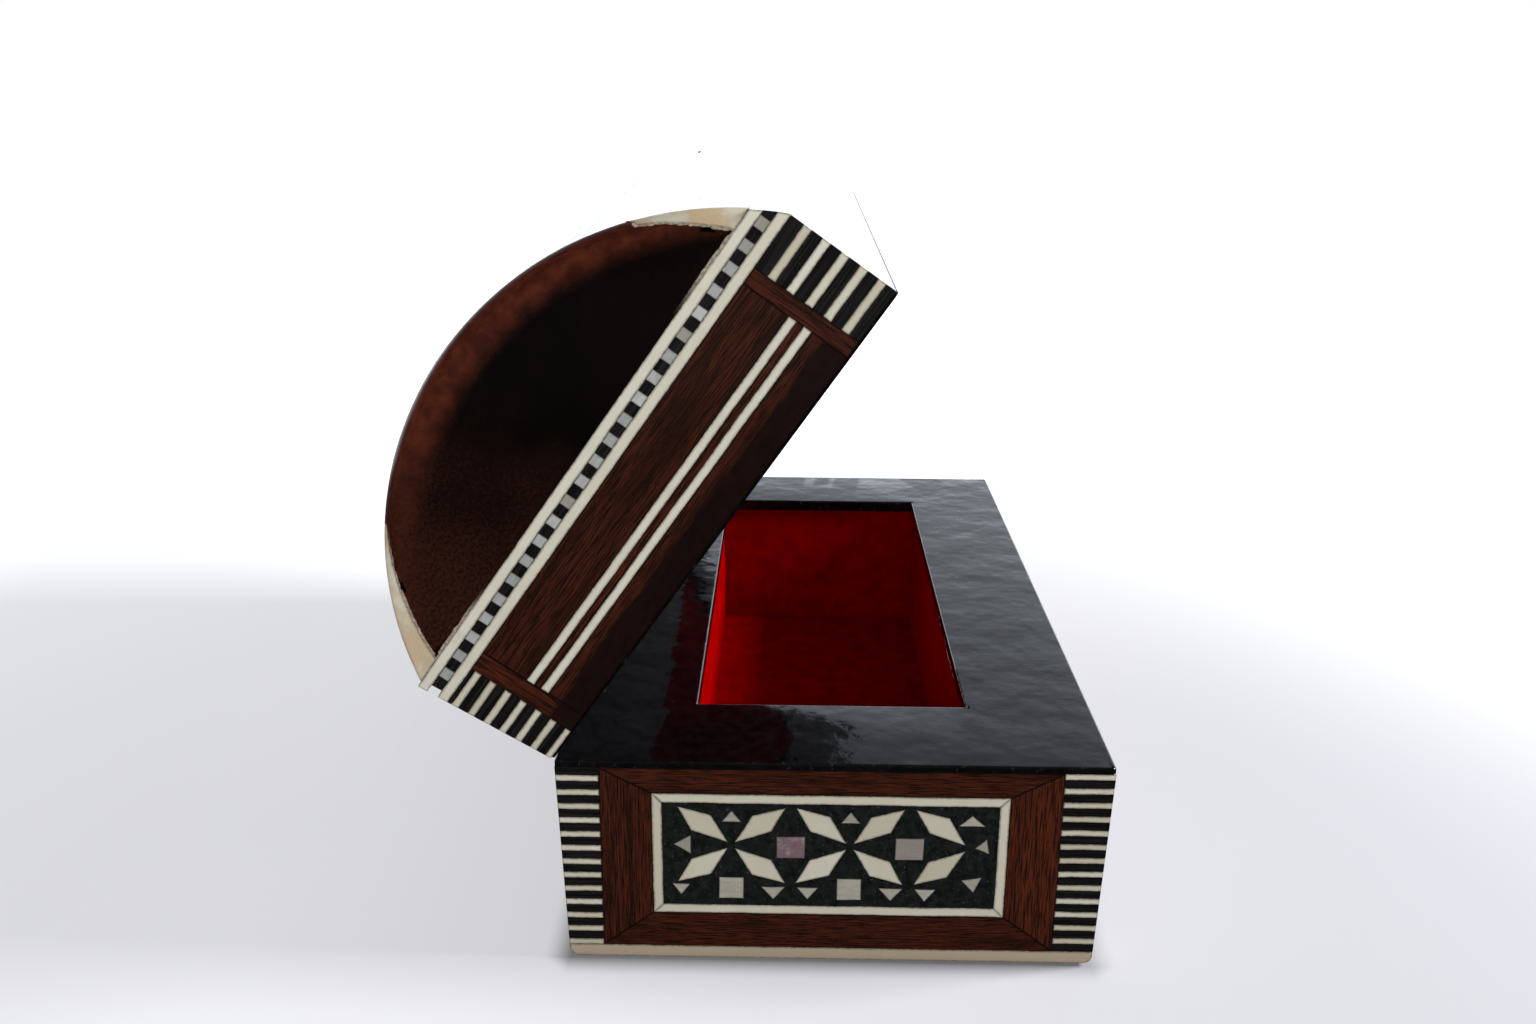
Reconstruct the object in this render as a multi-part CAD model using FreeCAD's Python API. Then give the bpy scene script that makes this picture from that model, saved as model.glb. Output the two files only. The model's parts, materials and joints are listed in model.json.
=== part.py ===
"""Inlaid wooden box with a hollow domed lid on two brass butt hinges.

Units are millimetres.  X runs along the box, -Y is the front, +Y is the hinged rear and Z is up.
The origin is the middle of the underside.  The lid is drawn shut and then swung open about the
hinge pins, which is how it stands at rest.
"""
import FreeCAD, Part
import os
from collections import defaultdict
from math import atan2, cos, degrees, radians, sin, sqrt

V = FreeCAD.Vector

# ---------------------------------------------------------------- driving dimensions
LENGTH = 160.0              # outside, along X
DEPTH = 89.0                # outside at the rim, front to rear
BASE_HEIGHT = 36.5          # table to the base's rim
BASE_LEAN = 1.4             # each long side draws in by this from rim to underside
OPENING_LENGTH = 117.0
OPENING_DEPTH = 46.0
LID_DEPTH = 90.8            # the lid passes the base's front edge a little, as a finger lip
LID_FRONT_HEIGHT = 19.2
LID_REAR_HEIGHT = 24.1
LID_REAR_LEAN = 1.7         # the lid's rear side leans out by this over its height
LID_HEIGHT = 48.7           # rim to crown
CROWN_FROM_HINGE = 43.2     # the crown lies this far in front of the rear edge
OPEN_AT_REST = 55.0         # degrees from shut

VENEER = 1.2                # every sawn inlay is this thick
RIM_PLATE = 1.1             # lacquered plate on the base's rim
LID_RIM_PLATE = 0.4         # the lid's is a thin sheet
LIP_DEEP = 1.4              # the plate's lip reaches this much further down round the opening
LINING = 2.0                # lining boards
LINING_SET_BACK = 0.8       # lining faces stand back from the opening's edge by this
FELT = 0.5
FELT_INSET = 3.0            # the felt stops short of the foot's edge
FLOOR_BOARD = 3.0
FLOOR_LINING = 1.5
BAND_TOP = 2.7              # top of the bone band round the foot
BAND_ROUNDING = 1.5         # on its lower corners, seen from the ends
RIM_CORNER = 0.8            # worn corners of the rim plates
RIM_ROUNDING = 0.45         # worn edges of the base's plate
LID_RIM_ROUNDING = 0.15     # worn edges of the lid's
CLOSED_GAP = 0.1            # each rim stands this far from the hinge pins' plane
DOME_SHELL = 5.0            # bent board under the dome's inlay
END_PANEL = 3.0             # D-shaped panel on each end of the dome
END_ROUNDING = 2.4          # round-over on the dome's ends
EDGING_REAR = (4.9, 26.2)   # the dome end's wood panel is a circle's arc through these two points
EDGING_FRONT = (84.6, 24.1)
EDGING_OVER_CROWN = 1.5     # and this far over the crown: the wood reaches the outside in the middle,
                            # and bone edging fills what is left at both feet
EDGING_ENDS = (18.0, 77.0)  # the edging's thin tips are cut off here

# inlay
BONE_SLIP = 1.05            # height of a bone slip in the base's corners
BASE_SLIP_PAIRS = 13
REAR_COLUMN = 7.0
FRONT_COLUMN = 8.0
SIDE_COLUMN = 7.5
STILE = 8.4                 # upright rails beside the corner columns
TOP_RAIL = 4.5
BOTTOM_RAIL = 6.35
STRING = 1.6                # bone stringing round the star fields
STAR_PITCH = 18.85
STAR_FROM_LEFT = 11.15
STAR_FROM_RIGHT = 4.6
STAR_BELOW_TOP = 7.55
PETAL = [(0.55, 0.5), (3.3, 5.4), (8.7, 6.9), (6.45, 2.6)]
TILE = 4.0                  # mother-of-pearl squares
WIDE_TILE = 4.6             # length of the ones between two stars
LINE = 1.7                  # bone lines each side of the chequer
CHEQUER = 1.8
CHEQUER_PITCH = 3.85
BLOCK_TOP = 18.9            # top of the lid's corner blocks
FRONT_BLOCK = 8.9           # width of the lid's front corner block
REAR_BLOCK = 5.8
FRONT_SLIPS = (2.3, 3.25, 1.35, 5)      # lowest bone slip, pitch, slip height, how many
REAR_SLIPS = (0.35, 2.78, 1.15, 7)
CROSS_FRONT = 2.8           # cross-grain ends of the lid's wood panels
CROSS_REAR = 3.4
LID_STRINGS = (6.9, 9.5)    # undersides of the two bone strings in the lid's wood
LID_STRING = 1.35
FIRST_BLACK = 2.4           # the front-most black piece of the chequer is longer
TOP_BORDER = 3.0            # bone border round the dome's top
TOP_PANEL_RAIL = 9.0
TOP_STARS = (7, 5)

# hinges
HINGE_FROM_MIDDLE = 35.0
HINGE_LENGTH = 18.0
LEAF = 0.8
LEAF_REACH = 6.0
KNUCKLE_RADIUS = 1.3
PIN_RADIUS = 0.6
PIN_CLEARANCE = 0.05
KNUCKLE_GAP = 0.15
MORTISE_CLEARANCE = 0.2
SCREW_RADIUS = 0.6
SCREW_HEAD_RADIUS = 1.15
SCREW_LENGTH = 6.0

# ---------------------------------------------------------------- worked-out places
END_X = LENGTH / 2
REAR_Y = DEPTH / 2
CORE_X = END_X - VENEER
PIN_Z = BASE_HEIGHT + CLOSED_GAP
PLATE_UNDER = BASE_HEIGHT - RIM_PLATE
OPENING_X = OPENING_LENGTH / 2
OPENING_Y = OPENING_DEPTH / 2
LINED_X = OPENING_X + LINING_SET_BACK
LINED_Y = OPENING_Y + LINING_SET_BACK
WALL_X = LINED_X + LINING
WALL_Y = LINED_Y + LINING
FLOOR_TOP = FELT + FLOOR_BOARD
LIP_UNDER = PLATE_UNDER - LIP_DEEP
LID_PLATE_TOP = CLOSED_GAP + LID_RIM_PLATE
LINE_TOP = BLOCK_TOP + LINE
CHEQUER_TOP = LINE_TOP + CHEQUER
BAND_END = CHEQUER_TOP + LINE

CRUMB = 0.05                # offcuts under this many cubic millimetres are dropped
BEYOND = 20.0               # cutting solids pass the box by this

nodes = defaultdict(list)


def add(node, *solids):
    nodes[node].extend(solids)


# ---------------------------------------------------------------- plain solids
def box(x0, y0, z0, x1, y1, z1):
    return Part.makeBox(x1 - x0, y1 - y0, z1 - z0, V(x0, y0, z0))


def face_of(points):
    return Part.Face(Part.makePolygon(points + points[:1]))


def prism_x(outline, x0, x1):
    """Extrude a (y, z) outline along X."""
    return face_of([V(x0, y, z) for y, z in outline]).extrude(V(x1 - x0, 0, 0))


def rod_x(radius, x0, x1, y, z):
    return Part.makeCylinder(radius, x1 - x0, V(x0, y, z), V(1, 0, 0))


def front_y(z):
    """Outer face of the base's front at height z; the rear is its mirror image."""
    return -(REAR_Y - BASE_LEAN * (1 - z / BASE_HEIGHT))


# ---------------------------------------------------------------- the lid's own outline
# In the lid, s is the distance from the rear edge and h the height above the hinge pins.
def lid_y(s):
    return REAR_Y - s


def lid_z(h):
    return PIN_Z + h


def lid_prism(outline, x0, x1):
    return prism_x([(lid_y(s), lid_z(h)) for s, h in outline], x0, x1)


def circle_through(a, b, c):
    """Centre and radius of the circle through three (s, h) points."""
    ax, ay, bx, by, cx, cy = *a, *b, *c
    d = 2 * (ax * (by - cy) + bx * (cy - ay) + cx * (ay - by))
    a2, b2, c2 = ax * ax + ay * ay, bx * bx + by * by, cx * cx + cy * cy
    s = (a2 * (by - cy) + b2 * (cy - ay) + c2 * (ay - by)) / d
    h = (a2 * (cx - bx) + b2 * (ax - cx) + c2 * (bx - ax)) / d
    return s, h, sqrt((ax - s) ** 2 + (ay - h) ** 2)


REAR_CORNER = (-LID_REAR_LEAN, LID_REAR_HEIGHT)
FRONT_CORNER = (LID_DEPTH, LID_FRONT_HEIGHT)
DOME_S, DOME_H, DOME_RADIUS = circle_through(REAR_CORNER, (CROWN_FROM_HINGE, LID_HEIGHT), FRONT_CORNER)
DOME_Y, DOME_Z = lid_y(DOME_S), lid_z(DOME_H)


def dome_rod(radius, x0, x1):
    return rod_x(radius, x0, x1, DOME_Y, DOME_Z)


def rear_s(h):
    return -LID_REAR_LEAN * h / LID_REAR_HEIGHT


def lid_slab(low, high, x0, x1):
    """Everything between two heights, wider than the lid."""
    return lid_prism(rectangle(-BEYOND, low, LID_DEPTH + BEYOND, high), x0, x1)


def lid_envelope(inset, x0, x1, bottom=CLOSED_GAP):
    """The lid's whole outline, drawn in on every side by inset."""
    top = LID_HEIGHT + BEYOND
    rear_low = (rear_s(bottom) + inset, bottom)
    rear_high = (rear_s(top) + inset, top)
    outline = [rear_low, rear_high, (LID_DEPTH - inset, top), (LID_DEPTH - inset, bottom)]
    return lid_prism(outline, x0, x1).common(dome_rod(DOME_RADIUS - inset, x0, x1))


def rounded_ends():
    """The lid's outline with the dome's end edges rounded over."""
    body = lid_envelope(0, -END_X, END_X)
    rims = [e for e in body.Edges if on_dome_end(e)]
    return body.makeFillet(END_ROUNDING, rims)


def on_dome_end(edge):
    curve = edge.Curve
    return isinstance(curve, Part.Circle) and abs(curve.Radius - DOME_RADIUS) < 0.01


# ---------------------------------------------------------------- flat sides
class Side:
    """A flat side: u runs along it, v is height, and the inlay is laid inward from its face."""

    def __init__(self, origin, along, up, inward):
        self.origin, self.along, self.up, self.inward = origin, along, up, inward

    def lay(self, outline, thickness=VENEER):
        points = [self.origin + self.along * u + self.up * v for u, v in outline]
        return face_of(points).extrude(self.inward * thickness)


def rectangle(u0, v0, u1, v1):
    return [(u0, v0), (u1, v0), (u1, v1), (u0, v1)]


def inset_rectangle(outer, by):
    u0, v0, u1, v1 = outer
    return u0 + by, v0 + by, u1 - by, v1 - by


def mitred_frame(outer, inner):
    """Bottom, right, top and left pieces between two rectangles, mitred at the corners."""
    a = rectangle(*outer)
    b = rectangle(*inner)
    return [[a[i], a[(i + 1) % 4], b[(i + 1) % 4], b[i]] for i in range(4)]


def triangle(u, v, half, high, turn=0.0):
    """Triangle about (u, v) that points up, then turns by turn degrees."""
    c, s = cos(radians(turn)), sin(radians(turn))
    corners = [(-half, -high / 2), (half, -high / 2), (0, high / 2)]
    return [(u + c * p - s * q, v + s * p + c * q) for p, q in corners]


def square(u, v, size=TILE):
    half = size / 2
    return rectangle(u - half, v - half, u + half, v + half)


def petals(u, v, sides):
    return [[(u + i * p, v + j * q) for p, q in PETAL] for i in sides for j in (1, -1)]


def star_row(left, bottom, right, top):
    """Four-petalled stars in a row, the last one cut by the frame, with tiles in the gaps."""
    spare = right - left - STAR_FROM_LEFT - STAR_FROM_RIGHT
    gaps = round(spare / STAR_PITCH)
    pitch = spare / gaps
    v = top - STAR_BELOW_TOP
    low = bottom + 3.2
    bone, pearl = [], []
    pearl.append(triangle(left + 3.2, v, 1.75, 2.8, 90))
    pearl.append(triangle(left + 3.0, low - 0.4, 1.5, 2.1, 180))
    for k in range(gaps):
        u = left + STAR_FROM_LEFT + k * pitch
        bone += petals(u, v, (-1, 1))
        gap = u + pitch / 2
        tile_low = v - 0.3 - TILE / 2
        pearl.append(rectangle(gap - WIDE_TILE / 2, tile_low, gap + WIDE_TILE / 2, tile_low + TILE))
        pearl.append(triangle(u, v + 5.3, 1.6, 2.1))
        pearl.append(square(u, low))
        pearl.append(triangle(gap - 2.8, low - 0.9, 2.0, 2.4, 180))
        pearl.append(triangle(gap + 2.8, low - 0.9, 1.75, 2.3, 180))
    u = left + STAR_FROM_LEFT + gaps * pitch
    bone += petals(u, v, (-1,))
    pearl.append(triangle(u + 0.3, v + 5.0, 2.2, 2.0))
    pearl.append(triangle(u + 2.0, v + 0.2, 1.4, 2.2, 100))
    pearl.append(triangle(u + 0.9, low + 1.0, 1.7, 2.7, 190))
    return bone, pearl


def star_grid(left, bottom, right, top, columns, rows):
    """Whole stars in rows and columns with a tile in every gap."""
    pitch_u = (right - left) / columns
    pitch_v = (top - bottom) / rows
    bone, pearl = [], []
    for i in range(columns):
        for j in range(rows):
            u = left + (i + 0.5) * pitch_u
            v = bottom + (j + 0.5) * pitch_v
            bone += petals(u, v, (-1, 1))
            if i < columns - 1:
                pearl.append(square(u + pitch_u / 2, v))
            if j < rows - 1:
                pearl.append(square(u, v + pitch_v / 2, TILE * 0.8))
    for j in range(rows):
        v = bottom + (j + 0.5) * pitch_v
        pearl.append(triangle(left + 3.0, v, 1.6, 2.3, 90))
        pearl.append(triangle(right - 3.0, v, 1.6, 2.3, -90))
    return bone, pearl


# ---------------------------------------------------------------- base
def leaning_block(x0, x1, z0, z1, inset_outer, inner_y, side):
    """Wall or strip whose outer face leans with the long side; side is -1 front, 1 rear."""
    outer = [(side * (-front_y(z) - inset_outer), z) for z in (z0, z1)]
    inner = [(side * inner_y, z) for z in (z1, z0)]
    return prism_x(outer + inner, x0, x1)


def base_section(inset, z0, z1, x0, x1):
    """Slice of the base from side to side."""
    left = [(front_y(z) + inset, z) for z in (z0, z1)]
    right = [(-front_y(z) - inset, z) for z in (z1, z0)]
    return prism_x(left + right, x0, x1)


def base_woodwork():
    add("underside_felt", base_section(FELT_INSET, 0, FELT, -END_X + FELT_INSET, END_X - FELT_INSET))
    add("base_floor_board", base_section(VENEER, FELT, FLOOR_TOP, -CORE_X, CORE_X))
    for side, name in ((-1, "front"), (1, "rear")):
        wall = leaning_block(-CORE_X, CORE_X, FLOOR_TOP, PLATE_UNDER, VENEER, WALL_Y, side)
        add("base_%s_wall" % name, wall)
    for side, name in ((-1, "near_end"), (1, "far_end")):
        low, high = sorted((side * WALL_X, side * CORE_X))
        add("base_%s_wall" % name, box(low, -WALL_Y, FLOOR_TOP, high, WALL_Y, PLATE_UNDER))


def base_linings():
    top = LIP_UNDER
    bottom = FLOOR_TOP + FLOOR_LINING
    add("base_floor_lining", box(-WALL_X, -WALL_Y, FLOOR_TOP, WALL_X, WALL_Y, bottom))
    add("base_front_lining", box(-WALL_X, -WALL_Y, bottom, WALL_X, -LINED_Y, top))
    add("base_rear_lining", box(-WALL_X, LINED_Y, bottom, WALL_X, WALL_Y, top))
    add("base_near_end_lining", box(-WALL_X, -LINED_Y, bottom, -LINED_X, LINED_Y, top))
    add("base_far_end_lining", box(LINED_X, -LINED_Y, bottom, WALL_X, LINED_Y, top))


def rim_plate(front, rear, z_face, z_back, z_lip, rounding):
    """Lacquered plate with a lip that hangs into the box round the opening."""
    low, high = sorted((z_face, z_back))
    plate = box(-END_X, front, low, END_X, rear, high)
    corners = [e for e in plate.Edges if abs(e.tangentAt(e.FirstParameter).z) > 0.9]
    plate = plate.makeFillet(RIM_CORNER, corners)
    low, high = sorted((z_face, z_lip))
    plate = plate.fuse(box(-WALL_X, -WALL_Y, low, WALL_X, WALL_Y, high)).removeSplitter()
    low, high = low - 1, high + 1
    plate = plate.cut(box(-OPENING_X, -OPENING_Y, low, OPENING_X, OPENING_Y, high))
    edges = [e for e in plate.Edges if on_plate_face(e, z_face)]
    return plate.makeFillet(rounding, edges)


def on_plate_face(edge, z):
    return all(abs(v.Point.z - z) < 1e-6 for v in edge.Vertexes)


def base_band():
    """Bone strips round the foot, with their lower corners rounded on the ends."""
    for side in (-1, 1):
        low, high = sorted((side * END_X, side * CORE_X))
        strip = base_section(0, FELT, BAND_TOP, low, high)
        lower = [e for e in strip.Edges if is_lower_corner(e)]
        add("base_bone_band", strip.makeFillet(BAND_ROUNDING, lower))
        add("base_bone_band", leaning_strip(side))


def is_lower_corner(edge):
    start, end = (v.Point for v in edge.Vertexes)
    return abs(start.z - FELT) < 1e-6 and abs(end.z - FELT) < 1e-6 and abs(start.x - end.x) > 0.5


def leaning_strip(side):
    outer = [(side * -front_y(z), z) for z in (FELT, BAND_TOP)]
    inner = [(y - side * VENEER, z) for y, z in reversed(outer)]
    return prism_x(outer + inner, -CORE_X, CORE_X)


def slip_column(outer_edge, inner_edge, bone_first):
    """Bone and black slips stacked from the top of a base column down to the band."""
    pitch = (PLATE_UNDER - BAND_TOP) / BASE_SLIP_PAIRS
    heights = (BONE_SLIP, pitch - BONE_SLIP)
    bone, black = [], []
    top = PLATE_UNDER
    for k in range(2 * BASE_SLIP_PAIRS):
        is_bone = (k % 2 == 0) == bone_first
        low = top - heights[0 if is_bone else 1]
        outline = [(outer_edge(low), low), (inner_edge, low), (inner_edge, top), (outer_edge(top), top)]
        (bone if is_bone else black).append(outline)
        top = low
    return bone, black


def base_side(name, side, left, right, left_column, right_column, lean):
    """Corner columns, mitred rails, stringing and the star field of one side."""
    def left_edge(v):
        return left + lean * (1 - v / BASE_HEIGHT)

    def right_edge(v):
        return right - lean * (1 - v / BASE_HEIGHT)

    columns = (slip_column(left_edge, left + left_column, False),
               slip_column(right_edge, right - right_column, True))
    for bone, black in columns:
        add("base_corner_bone_slips", *map(side.lay, bone))
        add("base_corner_black_slips", *map(side.lay, black))
    frame = (left + left_column, BAND_TOP, right - right_column, PLATE_UNDER)
    panel = (frame[0] + STILE, frame[1] + BOTTOM_RAIL, frame[2] - STILE, frame[3] - TOP_RAIL)
    field = inset_rectangle(panel, STRING)
    add("base_%s_rails" % name, *map(side.lay, mitred_frame(frame, panel)))
    add("base_bone_stringing", *map(side.lay, mitred_frame(panel, field)))
    bone, pearl = star_row(*field)
    bone = [side.lay(o) for o in bone]
    pearl = [side.lay(o) for o in pearl]
    resin = side.lay(rectangle(*field)).cut(Part.makeCompound(bone + pearl))
    add("base_%s_resin" % name, *resin.Solids)
    add("base_bone_petals", *bone)
    add("base_pearl_tiles", *pearl)


def base_sides():
    rear_foot = REAR_Y - BASE_LEAN
    tilt = BASE_LEAN / BASE_HEIGHT
    ends = {"near_end": (-END_X, V(1, 0, 0)), "far_end": (END_X, V(-1, 0, 0))}
    for name, (x, inward) in ends.items():
        side = Side(V(x, REAR_Y, 0), V(0, -1, 0), V(0, 0, 1), inward)
        base_side(name, side, 0, DEPTH, REAR_COLUMN, FRONT_COLUMN, BASE_LEAN)
    front = Side(V(-END_X, -rear_foot, 0), V(1, 0, 0), V(0, -tilt, 1), V(0, 1, 0))
    rear = Side(V(-END_X, rear_foot, 0), V(1, 0, 0), V(0, tilt, 1), V(0, -1, 0))
    for name, side in (("front", front), ("rear", rear)):
        base_side(name, side, VENEER, LENGTH - VENEER, SIDE_COLUMN, SIDE_COLUMN, 0)


# ---------------------------------------------------------------- lid
def lid_woodwork():
    """Walls, D-shaped end boards and the bent shell that closes the dome over them."""
    core = lid_envelope(VENEER, -CORE_X, CORE_X, LID_PLATE_TOP)
    high = LID_HEIGHT + BEYOND
    panel_x = END_X - END_PANEL
    shell = dome_rod(DOME_RADIUS - VENEER, -panel_x, panel_x)
    shell = shell.cut(dome_rod(DOME_RADIUS - VENEER - DOME_SHELL, -panel_x, panel_x))
    shell = shell.common(lid_slab(BLOCK_TOP, high, -panel_x, panel_x)).common(core)
    add("lid_dome_shell", *shell.Solids)
    for name, s0, s1 in (("front", REAR_Y + WALL_Y, LID_DEPTH), ("rear", -BEYOND, REAR_Y - WALL_Y)):
        wall = core.common(lid_prism(rectangle(s0, 0, s1, high), -WALL_X, WALL_X))
        add("lid_%s_wall" % name, *wall.cut(shell).Solids)
    for side, name in ((-1, "near_end"), (1, "far_end")):
        board = core.common(lid_slab(0, high, *sorted((side * WALL_X, side * CORE_X))))
        panel_room = lid_slab(BAND_END, high, *sorted((side * panel_x, side * END_X)))
        add("lid_%s_board" % name, *board.cut(panel_room).cut(shell).Solids)


def lid_linings():
    """Four boards and a ceiling sheet bent to the inside of the dome."""
    ceiling_radius = DOME_RADIUS - VENEER - DOME_SHELL
    outer = dome_rod(ceiling_radius, -WALL_X, WALL_X)
    inner = dome_rod(ceiling_radius - FLOOR_LINING, -WALL_X, WALL_X)
    low_s, high_s = REAR_Y - WALL_Y, REAR_Y + WALL_Y
    top = LID_HEIGHT + BEYOND
    bottom = LID_PLATE_TOP + LIP_DEEP
    well = lid_prism(rectangle(low_s, bottom, high_s, top), -WALL_X, WALL_X)
    add("lid_ceiling_lining", *well.common(outer).cut(inner).Solids)
    room = well.common(inner)
    lined_low, lined_high = REAR_Y - LINED_Y, REAR_Y + LINED_Y
    rear = room.common(lid_prism(rectangle(low_s, 0, lined_low, top), -WALL_X, WALL_X))
    front = room.common(lid_prism(rectangle(lined_high, 0, high_s, top), -WALL_X, WALL_X))
    add("lid_rear_lining", rear)
    add("lid_front_lining", front)
    for side, name in ((-1, "near_end"), (1, "far_end")):
        low, high = sorted((side * LINED_X, side * WALL_X))
        end = room.common(lid_prism(rectangle(lined_low, 0, lined_high, top), low, high))
        add("lid_%s_lining" % name, end)


def lid_blocks(side, top, outer_edge, inner_edge, first_bone, pitch, bone_height, count):
    """Corner block of the lid: bone slips from first_bone upward, black between them and to the top."""
    def slip(low, high):
        outline = [(outer_edge(low), low), (inner_edge, low), (inner_edge, high), (outer_edge(high), high)]
        return side.lay(outline)

    low = LID_PLATE_TOP
    for k in range(count):
        bone_low = max(first_bone + k * pitch, LID_PLATE_TOP)
        bone_high = first_bone + k * pitch + bone_height
        if bone_low > low:
            add("lid_corner_black_slips", slip(low, bone_low))
        add("lid_corner_bone_slips", slip(bone_low, bone_high))
        low = bone_high
    add("lid_corner_black_slips", slip(low, top))


def lid_panel(name, side, top, left, right, cross_left, cross_right):
    """Wood between the corner blocks, with cross-grain ends and two bone strings let in."""
    inner_left, inner_right = left + cross_left, right - cross_right
    rows = [LID_PLATE_TOP]
    for low in LID_STRINGS:
        rows += [low, low + LID_STRING]
    rows.append(top)
    for k, (low, high) in enumerate(zip(rows, rows[1:])):
        strip = side.lay(rectangle(inner_left, low, inner_right, high))
        add("lid_bone_strings" if k % 2 else "lid_%s_rails" % name, strip)
    for u0, u1 in ((left, inner_left), (inner_right, right)):
        add("lid_%s_rails" % name, side.lay(rectangle(u0, LID_PLATE_TOP, u1, top)))


def chequer_lines(side, left_edge, right_edge):
    """A bone line, a chequer of black and mother-of-pearl, and a second bone line."""
    def strip(low, high):
        return [(left_edge(low), low), (right_edge, low), (right_edge, high), (left_edge(high), high)]

    add("lid_bone_lines", side.lay(strip(BLOCK_TOP, LINE_TOP)))
    add("lid_bone_lines", side.lay(strip(CHEQUER_TOP, BAND_END)))
    count = int((right_edge - left_edge(LINE_TOP)) / CHEQUER_PITCH)
    u = right_edge - FIRST_BLACK
    add("lid_chequer_black", side.lay(rectangle(u, LINE_TOP, right_edge, CHEQUER_TOP)))
    half = CHEQUER_PITCH / 2
    for k in range(count):
        start = u - k * CHEQUER_PITCH
        tile_low = max(start - half, left_edge(LINE_TOP))
        add("lid_chequer_pearl", side.lay(rectangle(tile_low, LINE_TOP, start, CHEQUER_TOP)))
        black_low = start - CHEQUER_PITCH
        if black_low < left_edge(LINE_TOP):
            break
        add("lid_chequer_black", side.lay(rectangle(black_low, LINE_TOP, tile_low, CHEQUER_TOP)))


def lid_sides():
    tilt = LID_REAR_LEAN / LID_REAR_HEIGHT
    within = lid_envelope(0, -END_X, END_X)
    for name, x, inward in (("near_end", -END_X, V(1, 0, 0)), ("far_end", END_X, V(-1, 0, 0))):
        side = Side(V(x, REAR_Y, PIN_Z), V(0, -1, 0), V(0, 0, 1), inward)
        lid_blocks(side, BLOCK_TOP, lambda v: LID_DEPTH, LID_DEPTH - FRONT_BLOCK, *FRONT_SLIPS)
        lid_blocks(side, BLOCK_TOP, rear_s, REAR_BLOCK, *REAR_SLIPS)
        lid_panel(name, side, BLOCK_TOP, REAR_BLOCK, LID_DEPTH - FRONT_BLOCK, CROSS_REAR, CROSS_FRONT)
        chequer_lines(side, rear_s, LID_DEPTH)
    for node in ("lid_bone_lines", "lid_chequer_black", "lid_chequer_pearl"):
        trimmed = [s for piece in nodes[node] for s in piece.common(within).Solids]
        nodes[node] = [s for s in trimmed if s.Volume > CRUMB]
    front = Side(V(-END_X, lid_y(LID_DEPTH), PIN_Z), V(1, 0, 0), V(0, 0, 1), V(0, 1, 0))
    rear = Side(V(-END_X, REAR_Y, PIN_Z), V(1, 0, 0), V(0, tilt, 1), V(0, -1, 0))
    left, right = VENEER, LENGTH - VENEER
    sides = (("front", front, LID_FRONT_HEIGHT, FRONT_SLIPS), ("rear", rear, BLOCK_TOP, REAR_SLIPS))
    for name, side, high, slips in sides:
        lid_blocks(side, high, lambda v: left, left + FRONT_BLOCK, *slips)
        lid_blocks(side, high, lambda v: right, right - FRONT_BLOCK, *slips)
        lid_panel(name, side, high, left + FRONT_BLOCK, right - FRONT_BLOCK, CROSS_FRONT, CROSS_FRONT)
    chequer_lines(rear, lambda v: left, right)
    meet_the_dome()


def meet_the_dome():
    """Bevel the tops of the front's and rear's inlay where the dome's border sits on them."""
    top = DomeTop()
    spare = END_PANEL - VENEER
    front_edge = top.sector(-spare, 0, top.width + spare, TOP_BORDER)
    rear_edge = top.sector(0, top.arc - TOP_BORDER, top.width, top.arc)
    edges = Part.makeCompound([front_edge, rear_edge])
    for node in ("lid_corner_black_slips", "lid_corner_bone_slips", "lid_front_rails", "lid_bone_lines"):
        nodes[node] = [s for piece in nodes[node] for s in piece.cut(edges).Solids]


def dome_ends():
    """D-shaped wood panels with bone edging that widens towards both feet of the arc."""
    envelope = rounded_ends()
    top = DomeTop()
    spare = END_PANEL - VENEER
    feet = {"near_end": (-spare, 0), "far_end": (top.width, top.width + spare)}
    edging = circle_through(EDGING_REAR, (CROWN_FROM_HINGE, LID_HEIGHT + EDGING_OVER_CROWN), EDGING_FRONT)
    for name, x0, x1 in (("near_end", -END_X, -END_X + END_PANEL), ("far_end", END_X - END_PANEL, END_X)):
        whole = envelope.common(lid_slab(BAND_END, LID_HEIGHT + BEYOND, x0, x1))
        inside = rod_x(edging[2], x0, x1, lid_y(edging[0]), lid_z(edging[1]))
        middle = lid_prism(rectangle(EDGING_ENDS[0], 0, EDGING_ENDS[1], LID_HEIGHT + BEYOND), x0, x1)
        bone = [s for s in whole.cut(inside).cut(middle).Solids if s.Volume > CRUMB]
        add("lid_%s_dome_panel" % name, *whole.cut(Part.makeCompound(bone)).Solids)
        add("lid_dome_edge_bone", *bone)
        left, right = feet[name]
        foot = top.sector(left, 0, right, LID_REAR_HEIGHT - LID_FRONT_HEIGHT + END_PANEL)
        add("lid_dome_edge_bone", *foot.common(lid_slab(0, BAND_END, x0, x1)).Solids)


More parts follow.
